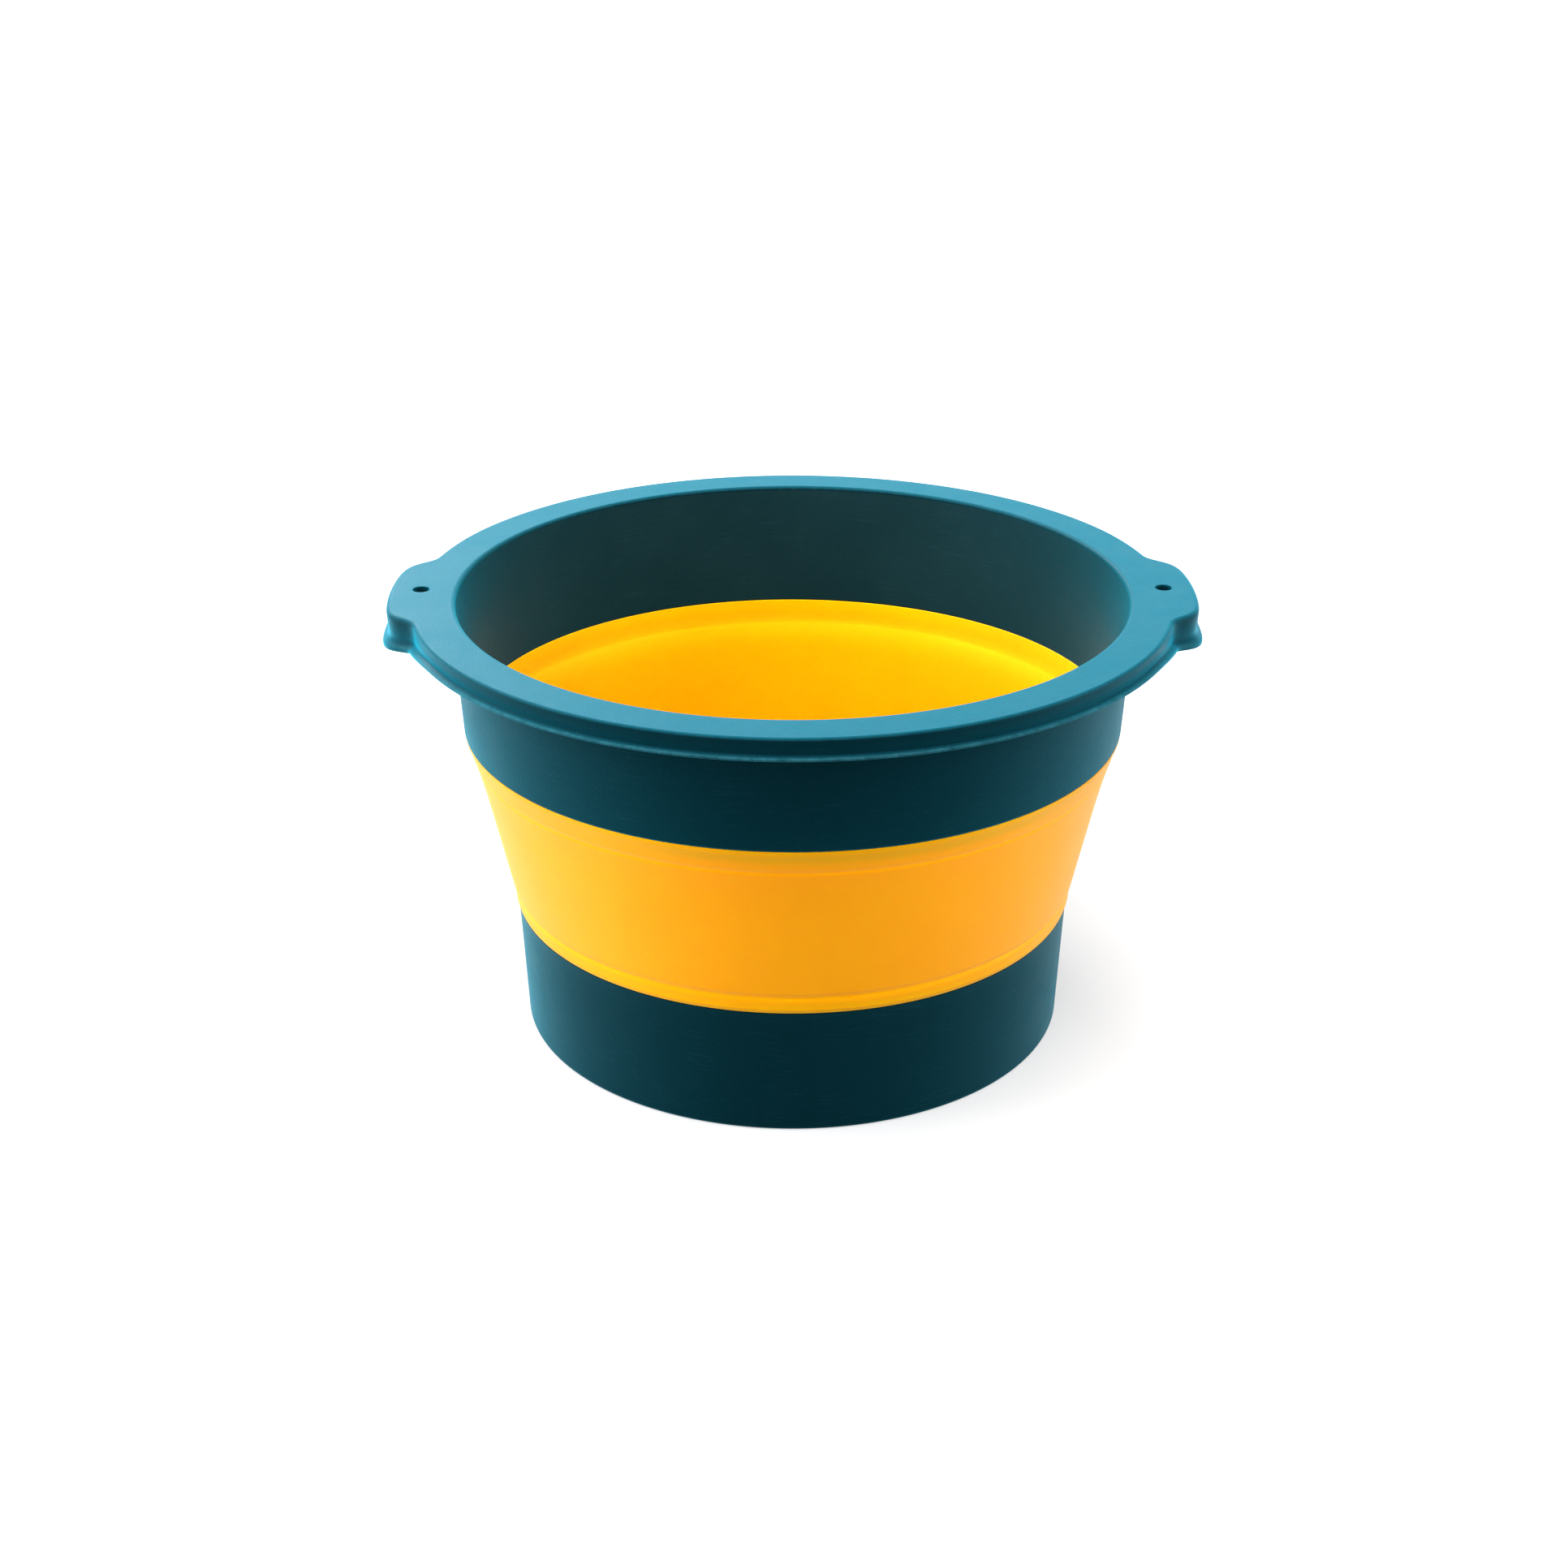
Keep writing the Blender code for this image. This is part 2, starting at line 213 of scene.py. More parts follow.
def rounded(corners, closed=True):
    """Points (r, z, edge) along corners (r, z, radius, steps, edge), each cut by an arc.

    edge is how worn the corner is, and how much highlight is painted on it: fully in the arc's
    middle, and not at all where it meets the flats. A flat keeps a support point beside each arc,
    so that it stays flat in smooth shading.
    """
    points = []
    for index, (r, z, radius, steps, edge) in enumerate(corners):
        at_end = not closed and index in (0, len(corners) - 1)
        if not radius or at_end:
            points.append((r, z, edge))
            continue
        before = corners[index - 1]
        after = corners[(index + 1) % len(corners)]
        back_r, back_z = before[0] - r, before[1] - z
        on_r, on_z = after[0] - r, after[1] - z
        back, on = math.hypot(back_r, back_z), math.hypot(on_r, on_z)
        back_r, back_z, on_r, on_z = back_r / back, back_z / back, on_r / on, on_z / on
        half = math.acos(max(-1.0, min(1.0, back_r * on_r + back_z * on_z))) / 2
        reach = min(radius / math.tan(half), REACH_SHARE * back, REACH_SHARE * on)
        middle = reach / math.cos(half)
        arc_radius = reach * math.tan(half)
        mid_r, mid_z = back_r + on_r, back_z + on_z
        mid = math.hypot(mid_r, mid_z)
        centre_r, centre_z = r + middle * mid_r / mid, z + middle * mid_z / mid
        spare = min(back, on) - 2 * reach
        support = reach + min(EDGE_SUPPORT, SUPPORT_SHARE * spare + SUPPORT_LEAST * reach)
        points.append((r + back_r * support, z + back_z * support, 0.0))
        start = math.atan2(z + back_z * reach - centre_z, r + back_r * reach - centre_r)
        end = math.atan2(z + on_z * reach - centre_z, r + on_r * reach - centre_r)
        turn = (end - start + math.pi) % (2 * math.pi) - math.pi
        for step in range(steps + 1):
            angle = start + turn * step / steps
            points.append((centre_r + arc_radius * math.cos(angle),
                           centre_z + arc_radius * math.sin(angle),
                           edge * math.sin(math.pi * step / steps)))
        points.append((r + on_r * support, z + on_z * support, 0.0))
    return points


def finished_object(name, mesh_data):
    """An object from a bmesh, smooth all over."""
    bmesh.ops.recalc_face_normals(mesh_data, faces=mesh_data.faces)
    mesh = bpy.data.meshes.new(name)
    mesh_data.to_mesh(mesh)
    mesh_data.free()
    mesh.shade_smooth()
    made = bpy.data.objects.new(name, mesh)
    bpy.context.scene.collection.objects.link(made)
    return made


def skinned_object(name, rings):
    """Rings of points (x, y, z, edge), joined into one closed skin.

    A ring may be one point on the axis.
    """
    mesh_data = bmesh.new()
    edge_layer = mesh_data.verts.layers.float.new("edge")
    corners = []
    for ring in rings:
        made = []
        for x, y, z, edge in ring:
            corner = mesh_data.verts.new((x, y, z))
            corner[edge_layer] = edge
            made.append(corner)
        corners.append(made)
    for ring, following in zip(corners, corners[1:] + corners[:1]):
        for index in range(max(len(ring), len(following))):
            loop = [ring[index - 1], ring[index]] if len(ring) > 1 else [ring[0]]
            if len(following) > 1:
                loop += [following[index], following[index - 1]]
            else:
                loop.append(following[0])
            if len(loop) > 2:
                mesh_data.faces.new(loop)
    return finished_object(name, mesh_data)


def turned_object(name, profile):
    """A profile of points (r, z, edge) turned once round the Z axis."""
    rings = []
    for r, z, edge in profile:
        if r == 0.0:
            rings.append([(0.0, 0.0, z, edge)])
            continue
        angles = [2 * math.pi * step / TURN_STEPS for step in range(TURN_STEPS)]
        rings.append([(r * math.cos(angle), r * math.sin(angle), z, edge) for angle in angles])
    return skinned_object(name, rings)


def cup_radius(z):
    """Outer radius of the base cup: a straight lean with a slight flare under the seam."""
    return (LOWER_SEAM_RADIUS - CUP_FLARE + lean(z - LOWER_SEAM_Z, CUP_LEAN_DEGREES)
            + CUP_FLARE * math.exp((z - LOWER_SEAM_Z) / CUP_FLARE_HEIGHT))


def lower_collar_radius(z):
    """Outer radius of the soft wall between the lower seam and the lower hinge."""
    return LOWER_SEAM_RADIUS + lean(z - LOWER_SEAM_Z, LOWER_COLLAR_LEAN_DEGREES)


def upper_collar_radius(z):
    """Outer radius of the soft wall between the upper hinge and the upper seam."""
    share = (z - UPPER_HINGE_Z) / (UPPER_SEAM_Z - UPPER_HINGE_Z)
    return UPPER_HINGE_RADIUS + (UPPER_SEAM_RADIUS - UPPER_HINGE_RADIUS) * share


def band_radius(z):
    """Outer radius of the rim's band."""
    return UPPER_SEAM_RADIUS + lean(z - UPPER_SEAM_Z, BAND_LEAN_DEGREES)


def crease(z, place, form):
    """Depth at a height of a smooth hollow or bead round the wall.

    form is its full depth and half height.
    """
    depth, half = form
    share = min(abs(z - place) / half, 1.0)
    return depth * (1.0 + math.cos(math.pi * share)) / 2


def ledge(z):
    """How far out the inner face lies at a height.

    It rounds over under the upper hinge and eases back above it.
    """
    above = z - UPPER_HINGE_Z
    if above <= 0.0:
        share = min(max(1.0 + above / INNER_LEDGE_ROUND, 0.0), 1.0)
        return INNER_LEDGE_DEPTH * share * share
    return INNER_LEDGE_DEPTH * (1.0 - smooth_ramp(above, 0.0, INNER_LEDGE_RUN))


def wall_radius(z):
    """Outer radius of the soft wall at a height, before its hinge lines."""
    if z <= LOWER_HINGE_Z:
        return lower_collar_radius(z)
    if z >= UPPER_HINGE_Z:
        return upper_collar_radius(z)
    share = (z - LOWER_HINGE_Z) / (UPPER_HINGE_Z - LOWER_HINGE_Z)
    straight_end = UPPER_HINGE_RADIUS - PANEL_SHOULDER
    straight = LOWER_HINGE_RADIUS + (straight_end - LOWER_HINGE_RADIUS) * share
    return straight + PANEL_SHOULDER * math.exp((z - UPPER_HINGE_Z) / PANEL_SHOULDER_HEIGHT)


def tongue(collar_radius, seam_z, height):
    """Corners of a tongue that follows the collar, from its outer root round.

    Its height is signed.
    """
    inset = (WALL - TONGUE_WALL) / 2
    root = collar_radius(seam_z) - inset
    tip = collar_radius(seam_z + height) - inset
    return [sharp(root, seam_z), eased(tip, seam_z + height, TONGUE_ROUND),
            eased(tip - TONGUE_WALL, seam_z + height, TONGUE_ROUND),
            sharp(root - TONGUE_WALL, seam_z)]


def slot(collar_radius, mouth_z, end_z):
    """Corners of the slot round a tongue, from its outer mouth edge round."""
    inset = (WALL - TONGUE_WALL) / 2 - GAP
    width = TONGUE_WALL + 2 * GAP
    mouth = collar_radius(mouth_z) - inset
    end = collar_radius(end_z) - inset
    return [eased(mouth, mouth_z, TONGUE_ROUND), sharp(end, end_z),
            sharp(end - width, end_z), eased(mouth - width, mouth_z, TONGUE_ROUND)]


def base_shell():
    """The stiff base: foot ring, cup wall, tongue, inner wall and floor."""
    ring_inner = cup_radius(0.0) - BASE_EDGE_ROUND - FOOT_RING_WIDTH
    floor_top = FOOT_RECESS + FLOOR_WALL
    underside = [sharp(0.0, FOOT_RECESS + GATE_DEPTH),
                 eased(GATE_RADIUS, FOOT_RECESS + GATE_DEPTH, SMALL_ROUND / 2),
                 eased(GATE_RADIUS + GATE_DEPTH, FOOT_RECESS, SMALL_ROUND, GATE_WEAR),
                 eased(ring_inner - FOOT_RECESS, FOOT_RECESS, SMALL_ROUND),
                 eased(ring_inner, 0.0, SMALL_ROUND, FOOT_WEAR)]
    outside = [round_corner(cup_radius(0.0), 0.0, BASE_EDGE_ROUND, FOOT_WEAR)]
    for step in range(1, CUP_FLARE_STEPS):
        z = LOWER_SEAM_Z * (1.0 - (1.0 - step / CUP_FLARE_STEPS) ** 2)
        outside.append(sharp(cup_radius(z), z))
    outside.append(eased(LOWER_SEAM_RADIUS, LOWER_SEAM_Z, SEAM_ROUND, SEAM_WEAR))
    held = tongue(lower_collar_radius, LOWER_SEAM_Z, LOWER_TONGUE_HEIGHT)
    inside = [eased(LOWER_SEAM_RADIUS - WALL, LOWER_SEAM_Z, SEAM_ROUND, SEAM_WEAR),
              round_corner(cup_radius(floor_top) - WALL, floor_top, FLOOR_CORNER_ROUND),
              sharp(0.0, floor_top)]
    return turned_object("base_shell", rounded(underside + outside + held + inside, closed=False))


def soft_wall():
    """The soft wall in one piece: lower collar, folding panel, upper collar and hinge lines."""
    low, high = LOWER_SEAM_Z + GAP, UPPER_SEAM_Z - GAP
    heights = [low + SEAM_ROUND + EDGE_SUPPORT]
    while heights[-1] < high - SEAM_ROUND - 2 * EDGE_SUPPORT:
        away = min(abs(heights[-1] - z) for z in (low, LOWER_HINGE_Z, UPPER_HINGE_Z, high))
        near = away < CREASE_REACH
        heights.append(heights[-1] + (CREASE_STEP if near else WALL_STEP))
    outside, inside = [], []
    for z in heights:
        lower = crease(z, LOWER_HINGE_Z, LOWER_CREASE)
        upper = crease(z, UPPER_HINGE_Z, UPPER_CREASE)
        bent = max(lower / LOWER_CREASE[0], upper / UPPER_CREASE[0])
        bead = (crease(z, low + SEAM_BEAD[1], SEAM_BEAD)
                + crease(z, high - SEAM_BEAD[1], SEAM_BEAD))
        # edge: where the wall is painted paler, at the hinge lines outside and the ledge inside,
        # partly a painted highlight
        outside.append((wall_radius(z) + bead - lower - upper, z, 0.0, 0, bent))
        inside.append((wall_radius(z) - WALL + ledge(z), z, 0.0, 0, ledge(z) / INNER_LEDGE_DEPTH))
    top, bottom = [], []
    for end, collar_radius, z, slot_end in (
            (top, upper_collar_radius, high, UPPER_SEAM_Z - UPPER_TONGUE_HEIGHT - GAP),
            (bottom, lower_collar_radius, low, LOWER_SEAM_Z + LOWER_TONGUE_HEIGHT + GAP)):
        end.append(eased(collar_radius(z), z, SEAM_ROUND, WALL_END_WEAR))
        end += slot(collar_radius, z, slot_end)
        end.append(eased(collar_radius(z) - WALL, z, SEAM_ROUND, WALL_END_WEAR))
    return turned_object("soft_wall", rounded(outside + top + inside[::-1] + bottom[::-1]))


def off_the_ear(degrees):
    """Angle from the X axis, whichever ear is nearer."""
    return abs((degrees + 90.0) % 180.0 - 90.0)


def rim_outline(degrees):
    """Point (x, y) of the skirt's outer face at an angle round the bucket."""
    turned = off_the_ear(degrees) / EAR_HALF_DEGREES
    share = (1.0 - turned ** EAR_FLATNESS) ** EAR_NECK_SOFTNESS if turned < 1.0 else 0.0
    radius = RIM_RADIUS + EAR_REACH * share
    angle = math.radians(degrees)
    return radius * math.cos(angle), radius * math.sin(angle)


def rim_outward(degrees):
    """Unit direction square to the outline and away from the bucket."""
    nudge_degrees = 0.1
    x0, y0 = rim_outline(degrees - nudge_degrees)
    x1, y1 = rim_outline(degrees + nudge_degrees)
    length = math.hypot(x1 - x0, y1 - y0)
    return (y1 - y0) / length, (x0 - x1) / length


def rim_section(degrees):
    """One closed section of the rim and its band, as points (x, y, z, edge)."""
    angle = math.radians(degrees)
    edge_x, edge_y = rim_outline(degrees)
    out_x, out_y = rim_outward(degrees)
    ear = 1.0 - smooth_ramp(off_the_ear(degrees), 0.0, EAR_SKIRT_END_DEGREES)
    foot = RIM_TOP_Z - SKIRT_DEPTH - (EAR_SKIRT_DEPTH - SKIRT_DEPTH) * ear
    lip_edge, lip_flare, lip_hollow, lip_wear_and_highlight = (
        rim_value + (ear_value - rim_value) * ear
        for rim_value, ear_value in ((LIP_EDGE, EAR_LIP_EDGE), (LIP_FLARE, EAR_LIP_FLARE),
                                     (LIP_HOLLOW, EAR_LIP_HOLLOW), (LIP_WEAR_AND_HIGHLIGHT, EAR_LIP_WEAR_AND_HIGHLIGHT)))
    past_ear = smooth_ramp(off_the_ear(degrees), *EAR_ROUND_DEGREES)
    outer_round = EAR_OUTER_ROUND + (OUTER_ROUND - EAR_OUTER_ROUND) * past_ear
    under = RIM_TOP_Z - RIM_PLATE
    mouth_r = band_radius(RIM_TOP_Z) - WALL

    band = [sharp(mouth_r + MOUTH_ROUND + EDGE_SUPPORT, RIM_TOP_Z),
            round_corner(mouth_r, RIM_TOP_Z, MOUTH_ROUND, MOUTH_WEAR_AND_HIGHLIGHT),
            eased(UPPER_SEAM_RADIUS - WALL, UPPER_SEAM_Z, SEAM_ROUND, SEAM_WEAR)]
    band += reversed(tongue(upper_collar_radius, UPPER_SEAM_Z, -UPPER_TONGUE_HEIGHT))
    band += [eased(UPPER_SEAM_RADIUS, UPPER_SEAM_Z, SEAM_ROUND, SEAM_WEAR),
             eased(band_radius(under), under, UNDER_FILLET),
             sharp(band_radius(under) + PLATE_LEAD, under)]
    lip_round = LIP_ROUND_SHARE * lip_edge
    skirt = [sharp(-SKIRT_WALL - PLATE_LEAD, under),
             eased(-SKIRT_WALL, under, UNDER_FILLET),
             eased(-SKIRT_WALL, foot, SMALL_ROUND, SKIRT_WEAR),
             eased(LIP_REACH, foot, lip_round),
             eased(LIP_REACH, foot + lip_edge, lip_round),
             eased(-SKIRT_LEAN, foot + lip_edge + lip_flare, lip_hollow),
             round_corner(0.0, RIM_TOP_Z, outer_round, OUTER_WEAR_AND_HIGHLIGHT),
             sharp(-outer_round - EDGE_SUPPORT, RIM_TOP_Z)]
    points = [(r * math.cos(angle), r * math.sin(angle), z, edge)
              for r, z, edge in rounded(band, closed=False)]
    for r, z, edge in rounded(skirt, closed=False):
        # The lip is rubbed and also painted with a highlight
        rubbed = lip_wear_and_highlight * smooth_ramp(r, *LIP_WEAR_AND_HIGHLIGHT_SPAN)
        points.append((edge_x + out_x * r, edge_y + out_y * r, z, max(edge, rubbed)))
    return points


def rim_stations():
    """Angles of the rim's sections, in degrees: close together at the two ears."""
    span = 2 * NEAR_END_DEGREES
    near_steps = round(span / NEAR_STEP_DEGREES)
    near = [span * (step / near_steps - 0.5) for step in range(near_steps + 1)]
    far_steps = round((180.0 - span) / FAR_STEP_DEGREES)
    far = [near[-1] + (180.0 - span) * step / far_steps for step in range(1, far_steps)]
    return near + far + [angle + 180.0 for angle in near + far]


def hole_cutter(side):
    """A turned cutter for one cord hole, flared at both faces to round the hole's edges."""
    low, high = RIM_TOP_Z - RIM_PLATE, RIM_TOP_Z
    wide = EAR_HOLE_RADIUS + HOLE_EDGE_ROUND
    profile = rounded([sharp(0.0, low - CUT_OVERRUN), sharp(wide, low - CUT_OVERRUN),
                       sharp(wide, low), eased(EAR_HOLE_RADIUS, low, HOLE_EDGE_ROUND),
                       eased(EAR_HOLE_RADIUS, high, HOLE_EDGE_ROUND), sharp(wide, high),
                       sharp(wide, high + CUT_OVERRUN), sharp(0.0, high + CUT_OVERRUN)],
                      closed=False)
    rings = []
    for r, z, _ in profile:
        steps = range(HOLE_STEPS if r else 1)
        angles = [2 * math.pi * (step + 0.5) / HOLE_STEPS for step in steps]
        rings.append([(side * EAR_HOLE_PLACE + r * math.cos(angle), r * math.sin(angle), z, 0.0)
                      for angle in angles])
    return skinned_object("hole_cutter", rings)


def rim_shell():
    """The stiff rim with its band, ears and cord holes."""
    sections = [rim_section(degrees) for degrees in rim_stations()]
    rim = skinned_object("rim_shell", [list(ring) for ring in zip(*sections)])
    for side in (-1, 1):
        cutter = hole_cutter(side)
        cut = rim.modifiers.new("cord_hole", "BOOLEAN")
        cut.object = cutter
        bpy.context.view_layer.update()
        graph = bpy.context.evaluated_depsgraph_get()
        mesh = bpy.data.meshes.new_from_object(rim.evaluated_get(graph))
        rim.modifiers.clear()
        rim.data = mesh
        bpy.data.objects.remove(cutter)
    rim.data.name = rim.name
    rim.data.shade_smooth()
    return rim


def fill(tree, made, inputs):
    """Sets a node's inputs to values, or links them to other nodes' outputs."""
    for name, value in inputs.items():
        if isinstance(value, bpy.types.NodeSocket):
            tree.links.new(value, made.inputs[name])
        else:
            made.inputs[name].default_value = value


def node(tree, kind, inputs, **settings):
    """A new shader node with its settings and inputs."""
    made = tree.nodes.new(kind)
    for name, value in settings.items():
        setattr(made, name, value)
    fill(tree, made, inputs)
    return made


def noise(tree, vector, scale, detail=2.0, roughness=0.5):
    """A noise texture's value, from 0 to 1, its scale in features per metre."""
    inputs = {"Vector": vector, "Scale": scale, "Detail": detail, "Roughness": roughness}
    return node(tree, "ShaderNodeTexNoise", inputs).outputs["Fac"]


def spread(tree, value, low, high, to_low=0.0, to_high=1.0):
    """A value mapped from one range to another and held inside it."""
    inputs = {"Value": value, "From Min": low, "From Max": high, "To Min": to_low,
              "To Max": to_high}
    return node(tree, "ShaderNodeMapRange", inputs).outputs["Result"]


def math_node(tree, operation, first, second):
    """Two values joined by an operation."""
    return node(tree, "ShaderNodeMath", {0: first, 1: second}, operation=operation).outputs[0]


def times(tree, first, second):
    """Two values multiplied."""
    return math_node(tree, "MULTIPLY", first, second)


def plus(tree, first, second):
    """Two values added."""
    return math_node(tree, "ADD", first, second)


def mixed(tree, factor, first, second):
    """Two colours mixed by a factor."""
    factor_input, first_input, second_input, colour_output = 0, 6, 7, 2
    inputs = {factor_input: factor, first_input: first, second_input: second}
    return node(tree, "ShaderNodeMix", inputs, data_type="RGBA").outputs[colour_output]


def bump(tree, height, distance, strength, below=None):
    """A bump, on top of another one if given."""
    inputs = {"Height": height, "Distance": distance, "Strength": strength}
    if below is not None:
        inputs["Normal"] = below
    return node(tree, "ShaderNodeBump", inputs).outputs["Normal"]


def new_material(name):
    """A material with an empty tree but for its Principled shader."""
    made = bpy.data.materials.new(name)
    made.use_nodes = True
    shader = made.node_tree.nodes["Principled BSDF"]
    return made, made.node_tree, shader


def places(tree):
    """The surface's own place, plain and drawn out round the bucket, its height, and its wear and
    painted highlight.
    """
    place = node(tree, "ShaderNodeTexCoord", {}).outputs["Object"]
    apart = node(tree, "ShaderNodeSeparateXYZ", {"Vector": place})
    x, y, z = (apart.outputs[axis] for axis in "XYZ")
    radius = math_node(tree, "SQRT", plus(tree, times(tree, x, x), times(tree, y, y)), 0.0)
    along = times(tree, math_node(tree, "ARCTAN2", y, x), METRES_PER_RADIAN)
    drawn = node(tree, "ShaderNodeCombineXYZ", {"X": along, "Y": radius, "Z": z}).outputs["Vector"]
    edge = node(tree, "ShaderNodeAttribute", {}, attribute_name="edge").outputs["Fac"]
    return place, drawn, z, edge


# Colours, in linear light
TEAL = (0.0005, 0.0060, 0.0088, 1.0)
TEAL_DEEP = (0.0003, 0.0048, 0.0070, 1.0)
# Painted light: the inner faces are painted a lighter, greyer teal for the light reflected in there
TEAL_INSIDE_PAINTED_LIGHT = (0.0058, 0.0205, 0.0245, 1.0)
TEAL_INSIDE_PAINTED_LIGHT_DEEP = (0.0045, 0.0175, 0.0210, 1.0)
# Wear, and painted highlight on the mouth, lip and top edges
TEAL_WEAR_AND_HIGHLIGHT = (0.0200, 0.0850, 0.1050, 1.0)
# Painted light: the rim's top face is painted this lighter teal for the light it catches
TEAL_PAINTED_TOP_LIGHT = (0.0012, 0.0430, 0.0640, 1.0)       # top face of the rim
TEAL_SHEEN_TINT = (0.0100, 0.6000, 0.8500, 1.0)
TEAL_GLOSS_TINT = (0.0500, 0.7000, 1.0000, 1.0)
YELLOW = (0.9700, 0.3900, 0.0004, 1.0)
YELLOW_DEEP = (0.9400, 0.3600, 0.0003, 1.0)
YELLOW_PALE_AND_HIGHLIGHT = (0.9600, 0.5200, 0.0060, 1.0)    # paler where the wall bends, and a painted highlight along the hinge lines
YELLOW_SHEEN_TINT = (1.0000, 0.9500, 0.8500, 1.0)
YELLOW_GLOSS_TINT = (1.0000, 0.7500, 0.0000, 1.0)

# Sheen of each teal face
CUP_SHEEN = 0.40
BAND_SHEEN = 0.80              # the band's outer face is moulded coarser
TOP_SHEEN = 0.44
INSIDE_SHEEN = 0.20            # the inner faces are moulded smoother

# Noises: features per metre, then detail and roughness
TEAL_CLOUD = (22.0, 3.0)           # faint flow marks
TEAL_GRAIN = (3200.0, 2.0, 0.6)    # spark-eroded grain
TEAL_PITS = (1000.0, 3.0, 0.6)     # and its coarser pits
TEAL_SWELL = (160.0, 2.0)
TEAL_RUB = (1500.0, 3.0, 0.65)     # hairline rubs round the bucket
TEAL_PATCH = (60.0, 4.0, 0.6)      # where those rubs are
TEAL_FRET = (240.0, 4.0, 0.7)      # breaks up the wear of the edges
TEAL_MOTTLE = (160.0, 6.0, 0.7)    # breaks up the painted light on the top face
YELLOW_CLOUD = (18.0, 3.0)
YELLOW_GRAIN = (2600.0, 2.0, 0.6)
YELLOW_PITS = (900.0, 3.0, 0.6)
YELLOW_SWELL = (90.0, 2.0)
YELLOW_RUB = (1100.0, 3.0, 0.6)
YELLOW_BEND_AND_HIGHLIGHT = (500.0, 3.0)       # breaks up the paler hinge lines and their painted highlight
METRES_PER_RADIAN = 0.006          # of a noise that is drawn out round the bucket

# Ranges of a noise's value, and what they become where that isn't 0 to 1
CLOUD_RANGE = (0.35, 0.65)
TEAL_RUB_RANGE = (0.52, 0.74)
YELLOW_RUB_RANGE = (0.50, 0.75)
PATCH_RANGE = (0.42, 0.62)
FRET_RANGE = (0.30, 0.72, 0.15, 0.75)
MOTTLE_RANGE = (0.3, 0.7, 0.84, 1.06)
BEND_AND_HIGHLIGHT_RANGE = (0.3, 0.7, 0.4, 1.0)
TEAL_ROUGHNESS = (0.3, 0.7, 0.37, 0.43)
YELLOW_ROUGHNESS = (0.3, 0.7, 0.45, 0.52)
PATCH_ROUGHNESS = (0.0, 1.0, -0.02, 0.02)

# How much of a mark shows, in the colour and in the roughness
TEAL_GRAIN_SHARE = 0.05
TEAL_RUB_SHARE = 0.12
YELLOW_RUB_SHARE = 0.05
# Edge wear and its painted highlight
WEAR_AND_HIGHLIGHT_MOST = 1.6
WEAR_AND_HIGHLIGHT_SHARE = 0.45
BENT_AND_HIGHLIGHT_SHARE = 0.45
WORN_ROUGHNESS = 0.06
RUB_ROUGHNESS = 0.05

# Bumps: height in metres and strength
TEAL_SWELL_BUMP = (0.00006, 0.35)
TEAL_PIT_BUMP = (0.00016, 0.50)
TEAL_GRAIN_BUMP = (0.00004, 0.60)
TEAL_RUB_BUMP = (0.00002, 0.20)
YELLOW_SWELL_BUMP = (0.00010, 0.35)
YELLOW_PIT_BUMP = (0.00012, 0.40)
YELLOW_GRAIN_BUMP = (0.00003, 0.35)


